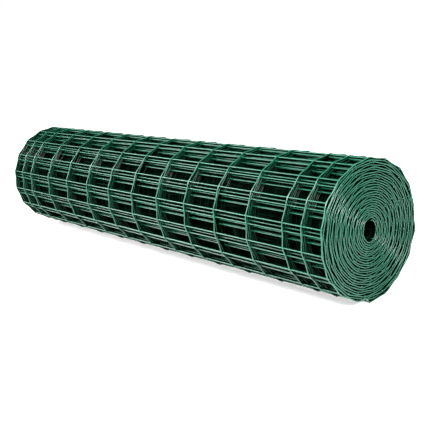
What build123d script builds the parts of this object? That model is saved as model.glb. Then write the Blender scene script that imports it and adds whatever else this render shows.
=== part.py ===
from build123d import *
from math import acos, atan, cos, degrees, pi, radians, sin, sqrt
import os

# A roll of welded wire fencing, coated green, lying on one facet of its outer turn.
# X runs along the roll's axis, Z is up, and the origin is on the floor below the axis at
# mid length, under the middle line wire. Millimetres throughout.

# The mesh
WIRE = 2.5              # diameter of a wire over its coating
MESH_PITCH = 50.0       # spacing of the cross wires along the mesh
END_PITCH = 50.0        # spacing of the outer line wires, two rows at each edge
MID_PITCH = 100.0       # spacing of the other line wires
END_ROWS = 2            # close rows at each edge of the mesh
MID_ROWS = 10           # wide rows between them
WELD_SINK = 0.18        # share of a diameter that two wires sink into each other at a weld

# The roll
OUTER_RADIUS = 142.0    # axis to the centre of a line wire, at the free end
TURN_PITCH = 4.66       # radial distance from one turn to the next
OPEN_TURNS = 2          # turns that are open mesh, above the core of closely wound ones
BORE_RADIUS = 16.0      # the open hole down the middle
INNER_LAP = 3.6         # from the bore's wall out to the centre of the innermost line wire

# How unevenly the outer turn is laid, in degrees from the free end
TOP_SLACK = 3.9         # the corners past the top lie this far back
SLACK_START = 165.0     # where the pitches start to lie closer together
SLACK_END = 220.0       # and where they stop
SIDE_LAY = 1.6          # the corners half way up the side lie at most this far on
SIDE_START = 21.0       # where they start to
SIDE_END = 165.0        # and where they stop

# The turns as the roll's ends show them
END_RELIEF = 5.0        # depth of the gaps between the turns
COIL_WIDTH = 2.1        # radial width of a turn
TURN_GAP = 0.16         # least gap between neighbouring turns
MAX_BEND = 40.0         # degrees, the most that a turn bends at one point

# Worked out from the above
FALL = TURN_PITCH / (2 * pi)
HALF_WIDTH = END_ROWS * END_PITCH + MID_ROWS * MID_PITCH / 2
LINE_WIDTH = HALF_WIDTH * 2
CORE_HALF = HALF_WIDTH + WIRE / 2 - END_RELIEF
CROSS_DROP = WIRE * (1 - WELD_SINK)
CHORD_SAG = TURN_PITCH - COIL_WIDTH - TURN_GAP
TURNS = (OUTER_RADIUS - BORE_RADIUS - INNER_LAP) / TURN_PITCH


def spiral_radius(turned):
    """Radius of a line wire's centre after so many degrees from the free end."""
    return OUTER_RADIUS - FALL * radians(turned)


def length_at(turned):
    """Length of mesh from the free end to where it has turned so many degrees."""
    angle = radians(turned)
    return OUTER_RADIUS * angle - FALL * angle * angle / 2


def turned_at(length):
    """Degrees turned after a length of mesh from the free end."""
    return degrees((OUTER_RADIUS - sqrt(OUTER_RADIUS ** 2 - 2 * FALL * length)) / FALL)


def slack(turned):
    """Degrees by which a corner is laid back, rising smoothly across the top."""
    share = min(max((turned - SLACK_START) / (SLACK_END - SLACK_START), 0), 1)
    return TOP_SLACK * share * share * (3 - 2 * share)


def side_lay(turned):
    """Degrees by which a corner is laid on, a smooth hump up the side."""
    share = min(max((turned - SIDE_START) / (SIDE_END - SIDE_START), 0), 1)
    return SIDE_LAY * sin(pi * share) ** 2


def first_angle():
    """Angle of the free end, at which the outside of the first stretch of mesh is level."""
    outer = OUTER_RADIUS + WIRE / 2
    step = turned_at(MESH_PITCH)
    inner = spiral_radius(step) + WIRE / 2
    rise = inner * sin(radians(step))
    return degrees(atan(rise / (outer - inner * cos(radians(step))))) - 180


def axis_height():
    """Height of the axis when the outside of the first stretch lies on the floor."""
    return -(OUTER_RADIUS + WIRE / 2) * sin(radians(first_angle()))


def point(turned, radius):
    """A point of a cross section, at the height of the axis above the floor."""
    angle = radians(first_angle() + turned)
    return (radius * cos(angle), radius * sin(angle) + axis_height())


def laid(turned):
    """Degrees round the axis from the free end at which a corner comes to lie."""
    return turned - slack(turned) + side_lay(turned)


def corners(first_turn, last_turn):
    """Degrees laid and radius of each cross wire from one turn up to another."""
    count = int(length_at(360 * last_turn) / MESH_PITCH) + 1
    stops = [turned_at(MESH_PITCH * i) for i in range(count)]
    kept = [stop for stop in stops if 360 * first_turn <= stop < 360 * last_turn]
    return [(laid(stop), spiral_radius(stop)) for stop in kept]


def coil_path():
    """A line wire followed to its inner end, in straight stretches that clear each other."""
    stops = [0.0]
    while stops[-1] < 360 * TURNS:
        corner = turned_at(length_at(stops[-1]) + MESH_PITCH)
        bend = laid(corner) - laid(stops[-1])
        dip_limit = degrees(2 * acos(1 - CHORD_SAG / spiral_radius(stops[-1])))
        share = min(bend, dip_limit, MAX_BEND) / bend
        stops.append(stops[-1] + share * (corner - stops[-1]))
    return [(laid(stop), spiral_radius(stop)) for stop in stops[:-1]]


def section(points):
    """A closed outline, as a face across the roll."""
    return Plane.YZ * make_face(Polyline(*points, close=True))


def bore_section():
    """The round hole, as a face across the roll."""
    return Plane.YZ * Pos(0, axis_height()) * Circle(BORE_RADIUS)


def grown(marks, grow):
    """Points of these corners, moved outwards by grow."""
    return [point(turned, radius + grow) for turned, radius in marks]


def slab(face, centre, thickness):
    """A section made this thick along the roll, about a place on the axis."""
    return Pos(centre - thickness / 2, 0, 0) * extrude(face, amount=thickness)


def core():
    """The closely wound turns, as one prism with the turned bore."""
    outline = grown(corners(OPEN_TURNS, OPEN_TURNS + 1), -WIRE / 2)
    return slab(section(outline) - bore_section(), 0, 2 * CORE_HALF)


def line_wire_places():
    """Places along the axis of the line wires that lie between the two end ones."""
    edge = HALF_WIDTH - END_ROWS * END_PITCH
    middle = [-edge + MID_PITCH * i for i in range(MID_ROWS + 1)]
    outer = [edge + END_PITCH * (i + 1) for i in range(END_ROWS - 1)]
    return [-place for place in reversed(outer)] + middle + outer


def rib_section():
    """The open turns of a line wire, which lie on each other down to the core."""
    marks = corners(0, 1) + corners(1, 2)[:1]
    return section(grown(marks, WIRE / 2)) - bore_section()


def cross_wire(turned, radius):
    """One cross wire of the outer turn, which spans from line wire to line wire."""
    top = radius - CROSS_DROP + WIRE / 2
    bottom = top - WIRE
    half = degrees(WIRE / 2 / radius)
    outline = [point(turned - half, bottom), point(turned + half, bottom)]
    outline += [point(turned + half, top), point(turned - half, top)]
    return slab(section(outline), 0, LINE_WIDTH)


def coil_section():
    """The band that a line wire fills from its free end to its inner end."""
    outside = grown(coil_path(), WIRE / 2)
    inside = grown(reversed(coil_path()), WIRE / 2 - COIL_WIDTH)
    return section(outside + inside)


def end_coil(side):
    """The turns as they show on one end of the roll, reaching a little into the core."""
    depth = END_RELIEF + WIRE / 2
    centre = side * (HALF_WIDTH + WIRE / 2 - depth / 2)
    return slab(coil_section(), centre, depth)


def mesh_roll():
    """The whole roll: core, ribs of line wire, outer cross wires, and the coils on both ends."""
    ribs = [slab(rib_section(), place, WIRE) for place in line_wire_places()]
    wires = [cross_wire(*mark) for mark in corners(0, 1)]
    return core().fuse(*ribs, *wires, end_coil(-1), end_coil(1))


os.makedirs("parts", exist_ok=True)
export_step(mesh_roll(), "parts/mesh_roll.step")
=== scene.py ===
import math

import bpy
import numpy as np
from bpy.props import FloatProperty, FloatVectorProperty, IntProperty, PointerProperty
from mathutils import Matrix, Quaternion, Vector


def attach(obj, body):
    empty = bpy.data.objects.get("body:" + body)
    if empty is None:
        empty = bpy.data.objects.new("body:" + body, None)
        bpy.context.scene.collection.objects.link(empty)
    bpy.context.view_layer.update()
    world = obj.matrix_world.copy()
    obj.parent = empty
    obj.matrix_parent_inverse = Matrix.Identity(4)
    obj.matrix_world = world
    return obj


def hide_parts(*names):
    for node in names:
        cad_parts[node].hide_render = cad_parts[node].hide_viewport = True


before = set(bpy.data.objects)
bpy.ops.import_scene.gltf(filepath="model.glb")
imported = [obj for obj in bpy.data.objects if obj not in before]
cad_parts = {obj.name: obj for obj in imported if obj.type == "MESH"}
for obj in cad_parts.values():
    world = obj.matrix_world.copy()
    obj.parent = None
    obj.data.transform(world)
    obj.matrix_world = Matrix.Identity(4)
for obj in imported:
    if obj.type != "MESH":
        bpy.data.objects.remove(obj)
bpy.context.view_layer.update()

bl_info = {
    "name": "Roll of Welded Wire Fencing",
    "version": (1, 0, 0),
    "blender": (4, 5, 0),
    "location": "3D View > Sidebar > Fencing",
    "description": "Builds a coated wire mesh roll, wire by wire, around its packed solid",
    "category": "Add Mesh",
}

ROLL = "mesh_roll"
BODY = "root"
LIGHT = "light_reaching"
MM = 0.001

# How unevenly the corners are laid: the angles are from the free end on
SLACK_START = math.radians(165)     # the pitches start to lie closer together
SLACK_END = math.radians(220)       # and stop
SIDE_START = math.radians(21)       # the corners up the side start to lie on
SIDE_END = math.radians(165)        # and stop
BOTTOM_START = math.radians(335)    # the first pass below starts to gain its angle
BOTTOM_RISE = 0.42                  # share of a turn over which a pass gains it
SINK_SEED = 7                       # start of the random draw of the corners' sinks
FLOOR_SINK = 0.03 * MM              # sink of the two corners that the roll lies on

# The path of a line wire
LEAST_STATIONS = 5                  # least number of stations from one corner to the next
STATION_STEP = math.radians(8)      # largest angle from one station to the next
HOLLOW_START = math.radians(300)    # the hollow of the outer turn starts to fade away
HOLLOW_END = math.radians(500)      # and is gone
FLOOR_DIP = 1.06                    # dip of the stretch on the floor, over a straight one's
SWAY_PHASE = 40                     # radians a metre that the line wires' waves are apart
SWAY_WAVES = ((1.0, 0.31), (0.6, 1.13), (0.4, 2.9))     # height and pace of each wave
INSET_WAVES = ((1.0, 5.37), (0.7, 12.62), (0.5, 2.41))
INSET_SPREAD = 3.2                  # from the least to the most of their sum that is used
INSET_FADE = 2.4                    # outer radius over that at which they start to fade

# The stations of cross wires and fillets, and the light on the wires
CUT_STATIONS = np.array([0, 0.2, 2.0])                  # diameters from a cut end
CUT_SWELL = np.array([0.6, 1.0, 1.0, 1.0, 1.0, 0.6])    # share of the radius at each station
CUT_LIGHT = np.array([1, 1, 0, 0, 1, 1])                # 1 where all light reaches it
FILLET_STATIONS = np.array([-0.95, -0.55, 0.55, 0.95])  # half widths from the middle
FILLET_SIDES = 6                    # faces round a fillet
INWARD_LIGHT = 0.4                  # share of its light that a wire's inward side keeps
INWARD_COSINES = (-0.8, 0.3)        # cosines round a wire between which the light is lost
FRONT_SINES = (0.25, 1.0)           # sines round an end wire between which it gets all light

# How far the dark parts, which are painted shade, reach below the dark core's outside, in setbacks
# of its ends
RIBBON_DEPTH = 2.2                  # of the bands at both ends
RING_DEPTH = 2                      # of the rings below the line wires

# The materials: a noise's scale is in lumps a metre
MATT = 0.9                          # roughness
# The streaks are painted dim light: faint green lines for deeper wires, on the black painted shade
STREAK_SCALES = ((8, 260, 260), (300, 12, 12))          # of two noises, in X, Y and Z
STREAK_RANGE = (0.58, 0.78)         # noise between which a streak rises to its full colour
PATCHES = {"Scale": 22, "Detail": 4}
PATCH_ROUGHNESS = (0.22, 0.34)
GRAIN = {"Scale": 900}
GRAIN_RELIEF = {"Strength": 0.15, "Distance": 0.1 * MM}
COATING_GLOSS = {"Coat Roughness": 0.27, "Specular IOR Level": 0.05}
BLACK = (0, 0, 0, 1)
WHITE = (1, 1, 1, 1)

# The studio
FLOOR_REACH = 30.0                  # from the middle of the floor to its edges
FLOOR_DISTANCES = (0.12, 0.45)      # from below the axis: the floor turns white between them
FLOOR_GLOW = (0.45, 1.0)            # its own light there, as the camera sees it
WORLD_LIGHT = 0.22                  # strength of the surroundings, as light
MIDDLE = (0, 0, 0.14)
NEAR_END = (0.6, 0, 0.14)
SOFT_LIGHTS = (                     # name, place, point that it faces, width and watts
    ("key_light", (0.5, -1.8, 2.4), MIDDLE, 0.9, 158),
    ("left_light", (-2.35, -1.95, 1.35), MIDDLE, 1.4, 130),
    ("end_light", (2.4, -0.6, 1.4), NEAR_END, 0.7, 106),
)
CAMERA_PLACE = (1.541675, -1.094957, 0.517817)          # from the axis, at mid length
CAMERA_AZIMUTH = math.radians(52.103)
CAMERA_ELEVATION = math.radians(17.174)
CAMERA_TILT = math.radians(-9.306)
CAMERA_LENS = 66.687
CAMERA_SENSOR = 36


class FencingMesh(bpy.types.PropertyGroup):
    """Sizes of the wires and of the mesh that they are welded into."""

    wire: FloatProperty(
        name="Wire", description="Diameter of a wire over its coating",
        default=2.5 * MM, min=0.5 * MM, unit="LENGTH")
    half_width: FloatProperty(
        name="Half Width", description="From the middle line wire to the last one",
        default=600 * MM, unit="LENGTH")
    mesh_pitch: FloatProperty(
        name="Mesh Pitch", description="Spacing of the cross wires along the mesh",
        default=50 * MM, unit="LENGTH")
    mid_pitch: FloatProperty(
        name="Line Wire Pitch", description="Spacing of the line wires between the close rows",
        default=100 * MM, unit="LENGTH")
    weld_sink: FloatProperty(
        name="Weld Sink", description="Share of a diameter that two wires sink into each other",
        default=0.18, min=0.0, max=0.5, subtype="FACTOR")
    weld_width: FloatProperty(
        name="Weld Width", description="Width of the coating's fillet where two wires cross",
        default=4.2 * MM, unit="LENGTH")
    weld_depth: FloatProperty(
        name="Weld Depth", description="Depth of that fillet, across the mesh",
        default=2.0 * MM, unit="LENGTH")
    welded_turns: IntProperty(
        name="Welded Turns", description="Outer turns whose fillets are modelled all along the roll",
        default=3, min=0)
    sides: IntProperty(
        name="Sides", description="Faces round a wire", default=8, min=5, max=12)


class FencingWinding(bpy.types.PropertyGroup):
    """Sizes of the roll, of the small unevenness of its turns, and of the painted shade below them.
    """

    outer_radius: FloatProperty(
        name="Outer Radius", description="Axis to the centre of a line wire, at the free end",
        default=142 * MM, unit="LENGTH")
    turn_pitch: FloatProperty(
        name="Turn Pitch", description="Radial distance from one turn to the next",
        default=4.66 * MM, unit="LENGTH")
    inner_radius: FloatProperty(
        name="Inner Radius", description="Axis to the centre of a line wire, at the inner end",
        default=18.2 * MM, unit="LENGTH")
    top_slack: FloatProperty(
        name="Top Slack", description="Angle by which the pitches at the top lie closer together",
        default=math.radians(3.9), subtype="ANGLE")
    side_lay: FloatProperty(
        name="Side Lay", description="Angle by which the corners half way up the side lie on",
        default=math.radians(1.6), subtype="ANGLE")
    bottom_lay: FloatProperty(
        name="Bottom Lay", description="Angle that the outer turns gain each time they pass below",
        default=math.radians(9.2), subtype="ANGLE")
    laid_bottoms: FloatProperty(
        name="Laid Bottoms", description="How many passes below gain that angle, the last in part",
        default=3.58, min=0.0)
    # The dark core stands for the closely wound inner turns; its black is painted shade
    core_turn: FloatProperty(
        name="Core Turn", description="Turns of open wire that lie over the dark core",
        default=5.0, min=1.0, max=8.0)
    core_drop: FloatProperty(
        name="Core Drop", description="From a line wire's centre down to the dark core",
        default=2.4 * MM, unit="LENGTH")
    core_bore: FloatProperty(
        name="Core Bore", description="Radius of the dark core's bore",
        default=21 * MM, unit="LENGTH")
    # The dark rings are painted shade: black sheets in gaps where there is only shade
    ring_drop: FloatProperty(
        name="Ring Drop", description="From a line wire's centre down to the dark ring below it",
        default=0.9 * MM, unit="LENGTH")
    ring_width: FloatProperty(
        name="Ring Width", description="Thickness of a dark ring",
        default=1.0 * MM, unit="LENGTH")
    # The dark strips below the outer cross wires are painted shade too
    fin_depth: FloatProperty(
        name="Fin Depth", description="Depth of the dark strip below an outer cross wire",
        default=4.4 * MM, unit="LENGTH")
    core_setback: FloatProperty(
        name="Core Setback", description="From the last line wire back to the dark core's end",
        default=8 * MM, unit="LENGTH")
    hollow: FloatProperty(
        name="Hollow", description="How far a stretch is pulled in below a straight line",
        default=1.0 * MM, unit="LENGTH")
    deepest_dip: FloatProperty(
        name="Deepest Dip", description="Largest dip of a stretch, in the outer turn",
        default=2.2 * MM, unit="LENGTH")
    eye_reach: FloatProperty(
        name="Eye Reach", description="How far the innermost turn reaches out to its two points",
        default=3.2 * MM, unit="LENGTH")
    eye_waist: FloatProperty(
        name="Eye Waist", description="How far the innermost turn lies in between its points",
        default=1.6 * MM, unit="LENGTH")
    eye_lean: FloatProperty(
        name="Eye Lean", description="Angle of the innermost turn's upper point",
        default=math.radians(78), subtype="ANGLE")
    eye_turns: FloatProperty(
        name="Eye Turns", description="Turns over which the innermost one's shape fades away",
        default=7.0, min=0.1)
    roundness: FloatProperty(
        name="Roundness", description="Share of a dip that leaves its corners rounded",
        default=0.5, min=0.0, max=1.0, subtype="FACTOR")
    unevenness: FloatProperty(
        name="Unevenness", description="How far a corner sinks below the spiral at most",
        default=0.5 * MM, unit="LENGTH")
    sway: FloatProperty(
        name="Sway", description="How far the turns stray along the axis",
        default=0.9 * MM, unit="LENGTH")
    edge_inset: FloatProperty(
        name="Edge Inset", description="How far a turn's edge lies in from the roll's end at most",
        default=3.6 * MM, unit="LENGTH")


class FencingLooks(bpy.types.PropertyGroup):
    """Colours of the coating, of the painted shade below the outer turns and of the floor, and the
    light between the turns.
    """

    coating: FloatVectorProperty(
        name="Coating", description="Colour of the coating",
        default=(0.006, 0.085, 0.045), size=3, min=0, max=1, subtype="COLOR")
    coating_pale: FloatVectorProperty(
        name="Pale Coating", description="Colour of the coating where it is a little thinner",
        default=(0.012, 0.120, 0.070), size=3, min=0, max=1, subtype="COLOR")
    light_left: FloatProperty(
        name="Light Left", description="Share of the light that a turn lets through to cross wires",
        default=0.88, min=0.0, max=1.0, subtype="FACTOR")
    light_between: FloatProperty(
        name="Light Between", description="Share that a turn lets through to the line wires",
        default=0.55, min=0.0, max=1.0, subtype="FACTOR")
    light_least: FloatProperty(
        name="Least Light", description="Share of the light that reaches any wire",
        default=0.12, min=0.0, max=1.0, subtype="FACTOR")
    # Painted shade: the black of the dark core, rings, ribbons and strips, where the turns lie in
    # shade
    darkest: FloatVectorProperty(
        name="Darkest", description="Colour of the closely wound turns in the dark",
        default=(0.0002, 0.0012, 0.0006), size=3, min=0, max=1, subtype="COLOR")
    # Painted dim light: faint green streaks for deeper wires seen in that shade
    streaks: FloatVectorProperty(
        name="Streaks", description="Colour of the faint streaks in the dark",
        default=(0.005, 0.018, 0.011), size=3, min=0, max=1, subtype="COLOR")
    floor: FloatVectorProperty(
        name="Floor", description="Colour of the floor",
        default=(0.86, 0.86, 0.86), size=3, min=0, max=1, subtype="COLOR")


def sizes():
    """The scene's three groups of values."""
    scene = bpy.context.scene
    return scene.fencing_mesh, scene.fencing_winding, scene.fencing_looks


def turned_at(length, winding):
    """Radians turned after a length of mesh, from the free end inwards.

    On a spiral whose radius falls evenly with the angle, the length is radius * angle less half
    the fall per radian * angle squared. This solves that for the angle.
    """
    fall = winding.turn_pitch / math.tau
    radius = winding.outer_radius
    return (radius - np.sqrt(radius ** 2 - 2 * fall * length)) / fall


def pitch_count(mesh, winding):
    """Whole mesh pitches between the free end and the inner end."""
    turns = (winding.outer_radius - winding.inner_radius) / winding.turn_pitch
    mean_radius = (winding.outer_radius + winding.inner_radius) / 2
    return int(turns * math.tau * mean_radius / mesh.mesh_pitch)


def smooth_step(value, low, high):
    """Rises from 0 at low to 1 at high as 3 * share squared less 2 * share cubed."""
    share = np.clip((value - low) / (high - low), 0, 1)
    return share * share * (3 - 2 * share)


def slack(turned, winding):
    """Radians by which a corner is laid back, rising smoothly across the top of the roll."""
    return winding.top_slack * smooth_step(turned, SLACK_START, SLACK_END)


def side_lay(turned, winding):
    """Radians by which a corner is laid on up the side, as the square of a half sine wave."""
    share = np.clip((turned - SIDE_START) / (SIDE_END - SIDE_START), 0, 1)
    return winding.side_lay * np.sin(np.pi * share) ** 2


def bottom_lay(turned, winding):
    """Radians that the corners have gained at the bottom, a stair with one smooth rise a turn."""
    passes = (turned - BOTTOM_START) / math.tau
    gained = np.floor(passes) + smooth_step(passes - np.floor(passes), 0, BOTTOM_RISE)
    return winding.bottom_lay * np.clip(gained, 0, winding.laid_bottoms)


def laid(turned, winding):
    """Radians round the axis from the free end at which a corner comes to lie."""
    return (turned - slack(turned, winding) + side_lay(turned, winding)
            + bottom_lay(turned, winding))


def first_angle(mesh, winding):
    """Angle of the free end, at which the outside of the first stretch of mesh is level.

    Two corners with radii a and b, one step apart, are at the same height where the tangent of
    the first one's angle is b * sin(step) over a less b * cos(step).
    """
    outer = winding.outer_radius + mesh.wire / 2
    step = float(turned_at(mesh.mesh_pitch, winding))
    inner = outer - winding.turn_pitch * step / math.tau
    return math.atan(inner * math.sin(step) / (outer - inner * math.cos(step))) - math.pi


def axis_height(mesh, winding):
    """Height of the axis when the first stretch lies on the floor."""
    return -(winding.outer_radius + mesh.wire / 2) * math.sin(first_angle(mesh, winding))


def corner_sink(count, winding):
    """How far each corner sinks below the spiral: the unevenness times a random share squared.

    The two corners of the stretch that the roll lies on hardly sink.
    """
    draw = np.random.default_rng(SINK_SEED)
    sink = draw.uniform(0, 1, count) ** 2 * winding.unevenness
    sink[:2] = FLOOR_SINK
    return sink


def eye(angle, radius, winding):
    """How far a turn lies beyond its spiral near the bore, where the turns are eye-shaped.

    It reaches out to two opposite points, as 1 less the size of sin of the angle from them, and
    lies in between them. Both fade away outwards over a few turns.
    """
    reach = winding.turn_pitch * winding.eye_turns
    fade = 1 - smooth_step(radius - winding.inner_radius, 0, reach)
    tips = 1 - np.abs(np.sin(angle - winding.eye_lean))
    return fade * ((winding.eye_reach + winding.eye_waist) * tips - winding.eye_waist)


def corners(mesh, winding):
    """Angle and radius of the line wires' centres at every cross wire, from the free end in."""
    count = pitch_count(mesh, winding) + 1
    turned = turned_at(np.arange(count) * mesh.mesh_pitch, winding)
    angle = first_angle(mesh, winding) + laid(turned, winding)
    radius = winding.outer_radius - winding.turn_pitch * turned / math.tau
    return angle, radius - corner_sink(count, winding)


def line_wire_path(mesh, winding):
    """Angle and radius of a line wire's centre, at stations from the free end to the inner end.

    Between two corners the angle and the radius change evenly, and the radius also dips, with
    share from 0 at one corner to 1 at the next, as a mix of 4 * share * (1 - share), which is a
    straight stretch, and of the square of sin(pi * share), which leaves the corners round. The
    depth is that of a straight stretch, up to a limit that falls with the radius, plus a hollow
    in the outer turn. The first stretch, which the roll lies on, is only a little hollow.
    """
    angle, radius = corners(mesh, winding)
    step = np.diff(angle)
    stretches = len(step)
    counts = np.maximum(LEAST_STATIONS, np.ceil(step / STATION_STEP)).astype(int)
    index = np.repeat(np.arange(stretches), counts)
    first = np.repeat(np.cumsum(counts) - counts, counts)
    share = (np.arange(counts.sum()) - first) / counts[index]
    straight = radius[:-1] * (1 - np.cos(step / 2))
    outer = 1 - smooth_step(angle[:-1] - angle[0], HOLLOW_START, HOLLOW_END)
    deepest = winding.deepest_dip * radius[:-1] / winding.outer_radius
    dip = np.minimum(straight, deepest) + winding.hollow * outer
    dip[0] = FLOOR_DIP * straight[0]
    roundness = np.full(stretches, winding.roundness)
    roundness[0] = 0
    path_angle = angle[index] + (angle[index + 1] - angle[index]) * share
    path_radius = radius[index] + (radius[index + 1] - radius[index]) * share
    chord, wave = 4 * share * (1 - share), np.sin(np.pi * share) ** 2
    path_radius -= dip[index] * (chord + roundness[index] * (wave - chord))
    path_angle = np.append(path_angle, angle[-1])
    path_radius = np.append(path_radius, radius[-1])
    return path_angle, path_radius + eye(path_angle, path_radius, winding)


def across(angle, radius, height):
    """Points across the roll, as y and z, from an angle and a radius about the axis."""
    return radius * np.cos(angle), radius * np.sin(angle) + height


def wave_sum(waves, angle, phase):
    """Sum over the waves of height * sin(pace * angle + the wave's number * phase)."""
    return sum(
        height * np.sin(pace * angle + number * phase)
        for number, (height, pace) in enumerate(waves, 1))


def turn_sway(angle, place, winding):
    """How far a line wire strays along the axis: half the sum of three slow waves of the angle."""
    return winding.sway * wave_sum(SWAY_WAVES, angle, SWAY_PHASE * place) / 2


def edge_inset(angle, radius, side, winding):
    """How far a turn's edge lies in from the roll's end: half the most, plus waves of the angle.

    None of the three waves fits a whole number of times into a turn, so neighbouring turns
    differ. Their height falls with the radius near the bore.
    """
    wave = np.clip(wave_sum(INSET_WAVES, angle, side) / INSET_SPREAD, -0.5, 0.5)
    height = np.clip(INSET_FADE * radius / winding.outer_radius, 0, 1)
    return winding.edge_inset * (0.5 + height * wave)


def line_wire_places(mesh):
    """Places of the line wires along the axis: two close rows at each edge, wide ones between."""
    edge = mesh.half_width
    inner = edge - 2 * mesh.mesh_pitch
    wide = np.arange(-inner, inner + mesh.mid_pitch / 2, mesh.mid_pitch)
    close = np.array([edge - mesh.mesh_pitch, edge])
    return np.concatenate((-close[::-1], wide, close))


def cross_drop(mesh):
    """From a line wire's centre down to that of the cross wire welded under it."""
    return mesh.wire * (1 - mesh.weld_sink)


def angles_round(sides):
    """Angles of the points round a section with so many sides."""
    return np.arange(sides) / sides * math.tau


def tube_faces(tubes, stations, sides):
    """Quads along many tubes of one length, and a cap at both ends of each, all facing out."""
    tube, ring, side = np.meshgrid(
        np.arange(tubes), np.arange(stations - 1), np.arange(sides), indexing="ij")
    base = tube * stations * sides
    here, after = base + ring * sides, base + (ring + 1) * sides
    following = (side + 1) % sides
    quads = np.stack((here + side, here + following, after + following, after + side), -1)
    start = (np.arange(tubes) * stations * sides)[:, None]
    last = start + (stations - 1) * sides
    round_ring = np.arange(sides)[None, :]
    caps = np.concatenate((start + round_ring[:, ::-1], last + round_ring))
    return quads.reshape(-1, 4), caps


def put_mesh(name, points, quads, ends, material, light=None):
    """Makes one smooth object at the origin from points, quads and a second set of faces.

    Light is the share of the light that reaches each point, which the coating's material reads.
    """
    mesh = bpy.data.meshes.new(name)
    mesh.vertices.add(len(points))
    mesh.vertices.foreach_set("co", np.ascontiguousarray(points, dtype=np.float32).ravel())
    loops = np.concatenate((quads.ravel(), ends.ravel())).astype(np.int32)
    starts = np.concatenate((
        np.arange(len(quads)) * quads.shape[1],
        quads.size + np.arange(len(ends)) * ends.shape[1])).astype(np.int32)
    mesh.loops.add(len(loops))
    mesh.loops.foreach_set("vertex_index", loops)
    mesh.polygons.add(len(starts))
    mesh.polygons.foreach_set("loop_start", starts)
    mesh.polygons.foreach_set("use_smooth", np.ones(len(starts), dtype=bool))
    mesh.update(calc_edges=True)
    mesh.validate()
    mesh.materials.append(material)
    if light is not None:
        reaching = mesh.attributes.new(LIGHT, "FLOAT", "POINT")
        reaching.data.foreach_set("value", light.astype(np.float32).ravel())
    piece = bpy.data.objects.new(name, mesh)
    bpy.context.scene.collection.objects.link(piece)
    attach(piece, BODY)
    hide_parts(ROLL)
    return piece


def put_tubes(name, points, light):
    """Makes one coated object of many tubes from their points, and closes both ends of each."""
    quads, caps = tube_faces(*points.shape[:3])
    put_mesh(name, points.reshape(-1, 3), quads, caps, green_coating(), light)


def turns_over(angle):
    """How many turns lie over a wire: the whole turns that the mesh has been laid round so far."""
    return np.floor((angle - angle[0]) / math.tau)


def light_below(turn_share, over, looks):
    """Share of the light below some turns: what one lets through, to the power of their number."""
    return np.maximum(turn_share ** over, looks.light_least)


def line_wire_light(places, mesh, winding, looks):
    """Share of the light that reaches each point of the line wires at these places.

    It falls by the same share with each turn over a wire, and towards the wire's inward side.
    On the two end wires it rises to all of it towards the front, as the sine of the angle
    round the wire.
    """
    over = turns_over(line_wire_path(mesh, winding)[0])
    turn = angles_round(mesh.sides)
    outward = smooth_step(np.cos(turn), *INWARD_COSINES)
    left = light_below(looks.light_between, over, looks)[None, :, None]
    share = left * (INWARD_LIGHT + (1 - INWARD_LIGHT) * outward)
    at_end = np.sign(places) * (np.abs(places) > mesh.half_width - mesh.wire)
    front = smooth_step(np.sin(turn) * at_end[:, None, None], *FRONT_SINES)
    return share + (1 - share) * front


def cross_wire_light(mesh, winding, looks):
    """Share of the light that reaches each point of the cross wires: all of it at their ends."""
    over = turns_over(corners(mesh, winding)[0])
    left = light_below(looks.light_left, over, looks)[:, None, None]
    light = left + (1 - left) * CUT_LIGHT[None, :, None]
    return np.broadcast_to(light, (len(over), len(CUT_LIGHT), mesh.sides))


def line_wire_centre(angle, radius, place, mesh, winding):
    """Where a line wire lies along the axis: the two end ones in from the roll's ends."""
    if abs(place) < mesh.half_width - mesh.wire:
        return place + turn_sway(angle, place, winding)
    side = math.copysign(1, place)
    return place - side * edge_inset(angle, radius, side, winding)


def line_wires(places, mesh, winding):
    """Points of the line wires at these places: a circle carried along the spiral path.

    The circle lies across the path, so its two directions are the axis and the path's outward
    normal, which is the tangent turned by a right angle.
    """
    angle, radius = line_wire_path(mesh, winding)
    y, z = across(angle, radius, axis_height(mesh, winding))
    along_y, along_z = np.gradient(y), np.gradient(z)
    length = np.hypot(along_y, along_z)
    normal_y, normal_z = along_z / length, -along_y / length
    turn = angles_round(mesh.sides)
    out, side = np.cos(turn) * mesh.wire / 2, np.sin(turn) * mesh.wire / 2
    points = np.empty((len(places), len(angle), mesh.sides, 3))
    for row, place in enumerate(places):
        centre = line_wire_centre(angle, radius, place, mesh, winding)
        points[row, :, :, 0] = centre[:, None] + side[None, :]
    points[..., 1] = (y[:, None] + normal_y[:, None] * out)[None]
    points[..., 2] = (z[:, None] + normal_z[:, None] * out)[None]
    return points


def cross_wires(mesh, winding):
    """Points of the cross wires: circles carried along the axis, smaller at both cut ends."""
    angle, radius = corners(mesh, winding)
    depth = radius + eye(angle, radius, winding) - cross_drop(mesh)
    y, z = across(angle, depth, axis_height(mesh, winding))
    low = edge_inset(angle, radius, -1, winding) - mesh.half_width - mesh.wire / 2
    high = mesh.half_width + mesh.wire / 2 - edge_inset(angle, radius, 1, winding)
    from_cut = CUT_STATIONS * mesh.wire
    stations = np.hstack((low[:, None] + from_cut, high[:, None] - from_cut[::-1]))
    swell = (CUT_SWELL * mesh.wire / 2)[None, :, None]
    turn = angles_round(mesh.sides)
    points = np.empty((*stations.shape, mesh.sides, 3))
    points[..., 0] = stations[:, :, None]
    points[..., 1] = y[:, None, None] + swell * np.cos(turn)
    points[..., 2] = z[:, None, None] + swell * np.sin(turn)
    return points


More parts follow.
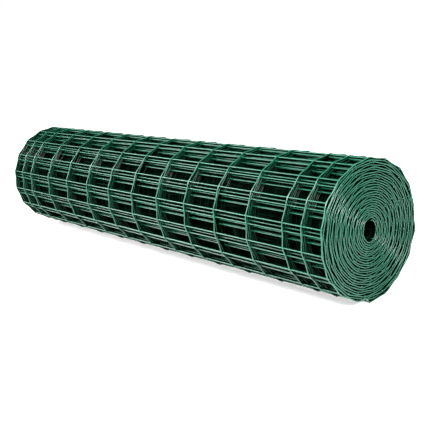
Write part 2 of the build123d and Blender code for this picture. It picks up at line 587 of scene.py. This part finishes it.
def weld_fillets(mesh, winding, looks):
    """Points of the coating's fillets where wires cross, and the light that reaches them.

    Each is a flat ball round the crossing: circles along the axis, whose size is the square
    root of 1 less the square of their station, stretched along the turn and flattened across it.
    """
    angle, radius = corners(mesh, winding)
    radius = radius + eye(angle, radius, winding)
    over = turns_over(angle)
    places = line_wire_places(mesh)
    centres = np.stack([line_wire_centre(angle, radius, x, mesh, winding) for x in places])
    wanted = np.broadcast_to(over < mesh.welded_turns, centres.shape).copy()
    wanted[[0, -1]] = True
    row, corner = np.nonzero(wanted)
    swell = np.sqrt(1 - FILLET_STATIONS ** 2)[None, :, None]
    turn = angles_round(FILLET_SIDES)
    out = mesh.weld_depth / 2 * swell * np.cos(turn)
    on = mesh.weld_width / 2 * swell * np.sin(turn)
    middle = (radius[corner] - cross_drop(mesh) / 2)[:, None, None]
    cos, sin = np.cos(angle[corner])[:, None, None], np.sin(angle[corner])[:, None, None]
    points = np.empty((len(row), len(FILLET_STATIONS), FILLET_SIDES, 3))
    limit = mesh.half_width + mesh.wire / 2
    along = centres[row, corner][:, None] + mesh.weld_width / 2 * FILLET_STATIONS
    points[..., 0] = np.clip(along, -limit, limit)[:, :, None]
    points[..., 1] = (middle + out) * cos - on * sin
    points[..., 2] = (middle + out) * sin + on * cos + axis_height(mesh, winding)
    light = light_below(looks.light_left, over[corner], looks)
    return points, np.repeat(light, len(FILLET_STATIONS) * FILLET_SIDES)


def one_turn(mesh, winding, turns, drop):
    """Angles and radii of one turn of a line wire's path, moved inwards by drop."""
    angle, radius = line_wire_path(mesh, winding)
    start = first_angle(mesh, winding) + math.tau * turns
    turn = (angle >= start) & (angle < start + math.tau)
    return angle[turn], radius[turn] - drop


def ring_solid(low, high, angle, outside, inside, height):
    """Points and quads of a ring about the axis, between two places and two sets of radii.

    It has four rounds, which close on themselves: the outside at the low place and at the high
    one, and then the inside at the high place and at the low one.
    """
    count = len(angle)
    rounds = ((low, outside), (high, outside), (high, inside), (low, inside))
    points = np.empty((4, count, 3))
    for row, (place, radius) in enumerate(rounds):
        points[row, :, 0] = place
        points[row, :, 1], points[row, :, 2] = across(angle, radius, height)
    ring, side = np.meshgrid(np.arange(4), np.arange(count), indexing="ij")
    here, after = ring * count, (ring + 1) % 4 * count
    following = (side + 1) % count
    quads = np.stack((here + side, here + following, after + following, after + side), -1)
    return points.reshape(-1, 3), quads.reshape(-1, 4)


def edge_ribbon(side, mesh, winding):
    """Points and quads of a thin band of painted shade that fills the gaps of one end's outer turns.

    It follows the end line wire, and reaches from its centre in to that of the next turn. Its
    four edges run along the wire: outside at the low and the high place, then inside.
    """
    angle, radius = line_wire_path(mesh, winding)
    centre = line_wire_centre(angle, radius, side * mesh.half_width, mesh, winding)
    turns = winding.core_turn + RIBBON_DEPTH * winding.core_setback / winding.turn_pitch
    outer = angle[angle < angle[0] + math.tau * turns]
    stations = len(outer)
    inner_radius = np.interp(outer + math.tau, angle, radius)
    inner_centre = np.interp(outer + math.tau, angle, centre)
    half = winding.ring_width / 2
    edges = (
        (centre[:stations] - half, radius[:stations]),
        (centre[:stations] + half, radius[:stations]),
        (inner_centre + half, inner_radius), (inner_centre - half, inner_radius))
    points = np.empty((stations, 4, 3))
    for column, (place, distance) in enumerate(edges):
        y, z = across(outer, distance, axis_height(mesh, winding))
        points[:, column] = np.stack((place, y, z), -1)
    quads, caps = tube_faces(1, stations, 4)
    return points.reshape(-1, 3), np.concatenate((quads, caps))


def cross_fins(mesh, winding):
    """Points and quads of a thin strip of painted shade along the roll, below each outer cross wire.

    Its section is a narrow rectangle that reaches from the wire's centre towards the axis.
    """
    angle, radius = corners(mesh, winding)
    first = turns_over(angle) == 0
    angle, wire = angle[first], radius[first] - cross_drop(mesh)
    reach = mesh.half_width - winding.core_setback
    half = winding.ring_width / 2 / wire
    turned = angle[:, None] + half[:, None] * np.array([-1, 1, 1, -1])
    distance = wire[:, None] - winding.fin_depth * np.array([0, 0, 1, 1])
    y, z = across(turned, distance, axis_height(mesh, winding))
    points = np.empty((len(angle), 2, 4, 3))
    points[..., 0] = np.array([-reach, reach])[None, :, None]
    points[..., 1], points[..., 2] = y[:, None], z[:, None]
    quads, caps = tube_faces(len(angle), 2, 4)
    return points.reshape(-1, 3), np.concatenate((quads, caps))


def painted_shade_parts(mesh, winding):
    """Points and quads of the dark core, and of painted shade that keeps the gaps outside it dark.

    That is a thin ring below each inner line wire, a strip below each outer cross wire, and at
    both ends a ribbon, which strays along the axis as the end line wire's turns do.
    """
    height = axis_height(mesh, winding)
    reach = mesh.half_width - winding.core_setback
    angle, radius = one_turn(mesh, winding, winding.core_turn, winding.core_drop)
    made = [ring_solid(-reach, reach, angle, radius, winding.core_bore, height)]
    deepest = float(radius.min()) - RING_DEPTH * winding.core_setback
    angle, radius = one_turn(mesh, winding, 0, winding.ring_drop)
    half = winding.ring_width / 2
    for place in line_wire_places(mesh)[1:-1]:
        middle = line_wire_centre(angle, radius, place, mesh, winding)
        made.append(ring_solid(middle - half, middle + half, angle, radius, deepest, height))
    made += [edge_ribbon(side, mesh, winding) for side in (-1, 1)]
    made.append(cross_fins(mesh, winding))
    starts = np.cumsum([0] + [len(points) for points, quads in made[:-1]])
    points = np.concatenate([points for points, quads in made])
    quads = np.concatenate([quads + start for (_, quads), start in zip(made, starts)])
    return points, quads


def build_line_wires():
    """Three pieces of five line wires each: the far, middle and near part of the roll."""
    mesh, winding, looks = sizes()
    groups = np.split(line_wire_places(mesh), 3)
    for name, places in zip(("far", "middle", "near"), groups):
        light = line_wire_light(places, mesh, winding, looks)
        put_tubes("line_wires_" + name, line_wires(places, mesh, winding), light)


def build_cross_wires():
    """One piece with every cross wire of the mesh."""
    mesh, winding, looks = sizes()
    light = cross_wire_light(mesh, winding, looks)
    put_tubes("cross_wires", cross_wires(mesh, winding), light)


def build_weld_fillets():
    """One piece with the fillets of the outer turns and of both ends."""
    mesh, winding, looks = sizes()
    put_tubes("weld_fillets", *weld_fillets(mesh, winding, looks))


def build_core():
    """One flat-faced piece that stands for the closely wound turns, black as painted shade."""
    mesh, winding, _ = sizes()
    points, quads = painted_shade_parts(mesh, winding)
    piece = put_mesh("painted_shade_core", points, quads, quads[:0], painted_shade_material())
    piece.data.polygons.foreach_set("use_smooth", np.zeros(len(quads), dtype=bool))


def new_material(name):
    """A node material, and its nodes, its links and its shader."""
    material = bpy.data.materials.new(name)
    material.use_nodes = True
    nodes = material.node_tree.nodes
    return material, nodes, material.node_tree.links, nodes["Principled BSDF"]


def set_sockets(node, values):
    """Sets a node's inputs from a table of names and values."""
    for name, value in values.items():
        node.inputs[name].default_value = value


def feed(links, socket, value):
    """Links another node's output to a socket, or sets the socket to a number or a colour."""
    if isinstance(value, bpy.types.NodeSocket):
        links.new(value, socket)
    else:
        socket.default_value = value


def noise(nodes, links, place, values):
    """Output of a noise over a place, with its inputs set from a table."""
    node = nodes.new("ShaderNodeTexNoise")
    set_sockets(node, values)
    links.new(place, node.inputs["Vector"])
    return node.outputs["Fac"]


def worked_out(nodes, links, operation, *values):
    """Output of a Math node that works on other nodes' outputs or on numbers."""
    node = nodes.new("ShaderNodeMath")
    node.operation = operation
    for socket, value in zip(node.inputs, values):
        feed(links, socket, value)
    return node.outputs["Value"]


def mapped(nodes, links, value, source=(0, 1), target=(0, 1)):
    """Output of a Map Range node, which carries a value from the source range to the target."""
    node = nodes.new("ShaderNodeMapRange")
    node.inputs["From Min"].default_value, node.inputs["From Max"].default_value = source
    node.inputs["To Min"].default_value, node.inputs["To Max"].default_value = target
    links.new(value, node.inputs["Value"])
    return node.outputs["Result"]


def blended(nodes, links, share, low, high):
    """Output of a Mix node: the low colour where the share is 0, and the high one where it is 1."""
    node = nodes.new("ShaderNodeMix")
    node.data_type = "RGBA"
    links.new(share, node.inputs["Factor"])
    feed(links, node.inputs["A"], low)
    feed(links, node.inputs["B"], high)
    return node.outputs["Result"]


def painted_shade_material():
    """The material of the closely wound turns: painted shade, almost black, with faint streaks of
    green, which are painted dim light.

    One noise is drawn out along the roll, as its cross wires are, and the other one across it.
    """
    looks = sizes()[2]
    material, nodes, links, surface = new_material("painted_shade_material")
    place = nodes.new("ShaderNodeTexCoord").outputs["Object"]
    streaks = []
    for scale in STREAK_SCALES:
        drawn_out = nodes.new("ShaderNodeMapping")
        drawn_out.inputs["Scale"].default_value = scale
        links.new(place, drawn_out.inputs["Vector"])
        streaks.append(noise(nodes, links, drawn_out.outputs["Vector"], {"Scale": 1}))
    brighter = worked_out(nodes, links, "MAXIMUM", *streaks)
    share = mapped(nodes, links, brighter, source=STREAK_RANGE)
    tint = blended(nodes, links, share, (*looks.darkest, 1), (*looks.streaks, 1))
    links.new(tint, surface.inputs["Base Color"])
    set_sockets(surface, {"Roughness": MATT, "Specular IOR Level": 0.0})
    return material


def green_coating():
    """The material of the coating: satin green plastic with faint patches and a fine grain.

    Its colour darkens, and its gloss thins as a clear coat, with the share of the light that
    reaches each point between the turns.
    """
    found = bpy.data.materials.get("green_pvc_coating")
    if found:
        return found
    looks = sizes()[2]
    material, nodes, links, surface = new_material("green_pvc_coating")
    place = nodes.new("ShaderNodeTexCoord").outputs["Object"]
    patches = noise(nodes, links, place, PATCHES)
    tint = blended(nodes, links, patches, (*looks.coating, 1), (*looks.coating_pale, 1))
    roughness = mapped(nodes, links, patches, target=PATCH_ROUGHNESS)
    bump = nodes.new("ShaderNodeBump")
    set_sockets(bump, GRAIN_RELIEF)
    links.new(noise(nodes, links, place, GRAIN), bump.inputs["Height"])
    reaching = nodes.new("ShaderNodeAttribute")
    reaching.attribute_name = LIGHT
    light = reaching.outputs["Fac"]
    links.new(blended(nodes, links, light, BLACK, tint), surface.inputs["Base Color"])
    links.new(roughness, surface.inputs["Roughness"])
    links.new(bump.outputs["Normal"], surface.inputs["Normal"])
    links.new(light, surface.inputs["Coat Weight"])
    set_sockets(surface, COATING_GLOSS)
    return material


def floor_material(mesh, looks):
    """A pale matt floor that the camera sees turn to plain white away from the roll.

    The distance is that of a floor point from the stretch of floor below the roll's axis.
    """
    material, nodes, links, surface = new_material("studio_floor")
    colours = {"Base Color": (*looks.floor, 1), "Emission Color": WHITE}
    set_sockets(surface, {"Roughness": MATT, **colours})
    axes = nodes.new("ShaderNodeSeparateXYZ")
    links.new(nodes.new("ShaderNodeTexCoord").outputs["Object"], axes.inputs["Vector"])
    from_middle = worked_out(nodes, links, "ABSOLUTE", axes.outputs["X"])
    past_end = worked_out(nodes, links, "SUBTRACT", from_middle, mesh.half_width)
    offset = nodes.new("ShaderNodeCombineXYZ")
    links.new(worked_out(nodes, links, "MAXIMUM", past_end, 0), offset.inputs["X"])
    links.new(axes.outputs["Y"], offset.inputs["Y"])
    distance = nodes.new("ShaderNodeVectorMath")
    distance.operation = "LENGTH"
    links.new(offset.outputs["Vector"], distance.inputs["Vector"])
    glow = mapped(nodes, links, distance.outputs["Value"], FLOOR_DISTANCES, FLOOR_GLOW)
    seen = nodes.new("ShaderNodeLightPath").outputs["Is Camera Ray"]
    strength = worked_out(nodes, links, "MULTIPLY", seen, glow)
    links.new(strength, surface.inputs["Emission Strength"])
    return material


def build_floor():
    """A wide square floor at the height that the roll lies on."""
    mesh, _, looks = sizes()
    reach = FLOOR_REACH
    ground = bpy.data.meshes.new("floor")
    square = [(-reach, -reach, 0), (reach, -reach, 0), (reach, reach, 0), (-reach, reach, 0)]
    ground.from_pydata(square, [], [(0, 1, 2, 3)])
    ground.materials.append(floor_material(mesh, looks))
    floor = bpy.data.objects.new("floor", ground)
    bpy.context.scene.collection.objects.link(floor)


def build_world():
    """White all round for the camera, and a softer white as light."""
    world = bpy.data.worlds.new("studio")
    bpy.context.scene.world = world
    world.use_nodes = True
    nodes, links = world.node_tree.nodes, world.node_tree.links
    background = nodes["Background"]
    background.inputs["Color"].default_value = WHITE
    rays = nodes.new("ShaderNodeLightPath").outputs
    seen = worked_out(nodes, links, "MAXIMUM", rays["Is Camera Ray"], rays["Is Transmission Ray"])
    level = mapped(nodes, links, seen, target=(WORLD_LIGHT, 1))
    links.new(level, background.inputs["Strength"])


def soft_light(name, place, aim, size, power):
    """A square soft light at a place, turned to the point that it faces."""
    data = bpy.data.lights.new(name, "AREA")
    data.shape = "SQUARE"
    data.size = size
    data.energy = power
    light = bpy.data.objects.new(name, data)
    light.location = place
    light.rotation_euler = (Vector(aim) - Vector(place)).to_track_quat("-Z", "Y").to_euler()
    bpy.context.scene.collection.objects.link(light)


def build_camera():
    """The photograph's viewpoint: past the roll's near end, above it, and a little tilted.

    The direction from the roll to it has an azimuth, from -Y towards +X, and an elevation.
    """
    mesh, winding, _ = sizes()
    x, y, above_axis = CAMERA_PLACE
    level = math.cos(CAMERA_ELEVATION)
    back = Vector((
        math.sin(CAMERA_AZIMUTH) * level,
        -math.cos(CAMERA_AZIMUTH) * level,
        math.sin(CAMERA_ELEVATION)))
    tilt = Quaternion((0, 0, 1), CAMERA_TILT)
    data = bpy.data.cameras.new("camera")
    data.sensor_width = CAMERA_SENSOR
    data.lens = CAMERA_LENS
    camera = bpy.data.objects.new("camera", data)
    camera.location = (x, y, axis_height(mesh, winding) + above_axis)
    camera.rotation_mode = "QUATERNION"
    camera.rotation_quaternion = back.to_track_quat("Z", "Y") @ tilt
    bpy.context.scene.collection.objects.link(camera)
    bpy.context.scene.camera = camera


def build_stage():
    """The floor, the surroundings, the lights and the camera."""
    build_floor()
    build_world()
    for light in SOFT_LIGHTS:
        soft_light(*light)
    build_camera()
    bpy.context.scene.view_settings.view_transform = "Standard"


class FENCING_OT_line_wires(bpy.types.Operator):
    """Build the line wires, which run round the roll"""

    bl_idname = "fencing.line_wires"
    bl_label = "Line Wires"

    def execute(self, context):
        build_line_wires()
        return {"FINISHED"}


class FENCING_OT_cross_wires(bpy.types.Operator):
    """Build the cross wires, which run along the roll"""

    bl_idname = "fencing.cross_wires"
    bl_label = "Cross Wires"

    def execute(self, context):
        build_cross_wires()
        return {"FINISHED"}


class FENCING_OT_weld_fillets(bpy.types.Operator):
    """Build the coating's fillets where the wires cross"""

    bl_idname = "fencing.weld_fillets"
    bl_label = "Weld Fillets"

    def execute(self, context):
        build_weld_fillets()
        return {"FINISHED"}


class FENCING_OT_core(bpy.types.Operator):
    """Build the closely wound turns below the outer ones, black as painted shade"""

    bl_idname = "fencing.core"
    bl_label = "Dark Core"

    def execute(self, context):
        build_core()
        return {"FINISHED"}


class FENCING_OT_stage(bpy.types.Operator):
    """Build the floor, the lights, the surroundings and the camera"""

    bl_idname = "fencing.stage"
    bl_label = "Stage"

    def execute(self, context):
        build_stage()
        return {"FINISHED"}


class FENCING_PT_panel(bpy.types.Panel):
    """Sidebar panel with the sizes, the colours and the steps"""

    bl_label = "Wire Fencing Roll"
    bl_space_type = "VIEW_3D"
    bl_region_type = "UI"
    bl_category = "Fencing"

    def draw(self, context):
        for group in sizes():
            box = self.layout.box()
            for name in group.__annotations__:
                box.prop(group, name)
        for step in STEPS:
            self.layout.operator(step.bl_idname)


STEPS = (
    FENCING_OT_line_wires, FENCING_OT_cross_wires, FENCING_OT_weld_fillets, FENCING_OT_core,
    FENCING_OT_stage)
CLASSES = (FencingMesh, FencingWinding, FencingLooks, *STEPS, FENCING_PT_panel)


def register():
    """Adds the classes and the scene's values."""
    for made in CLASSES:
        bpy.utils.register_class(made)
    bpy.types.Scene.fencing_mesh = PointerProperty(type=FencingMesh)
    bpy.types.Scene.fencing_winding = PointerProperty(type=FencingWinding)
    bpy.types.Scene.fencing_looks = PointerProperty(type=FencingLooks)


def unregister():
    """Takes the scene's values and the classes away."""
    del bpy.types.Scene.fencing_looks
    del bpy.types.Scene.fencing_winding
    del bpy.types.Scene.fencing_mesh
    for made in reversed(CLASSES):
        bpy.utils.unregister_class(made)


def main():
    """Builds the roll and the stage."""
    register()
    bpy.ops.fencing.line_wires()
    bpy.ops.fencing.cross_wires()
    bpy.ops.fencing.weld_fillets()
    bpy.ops.fencing.core()
    bpy.ops.fencing.stage()


if __name__ == "__main__":
    main()
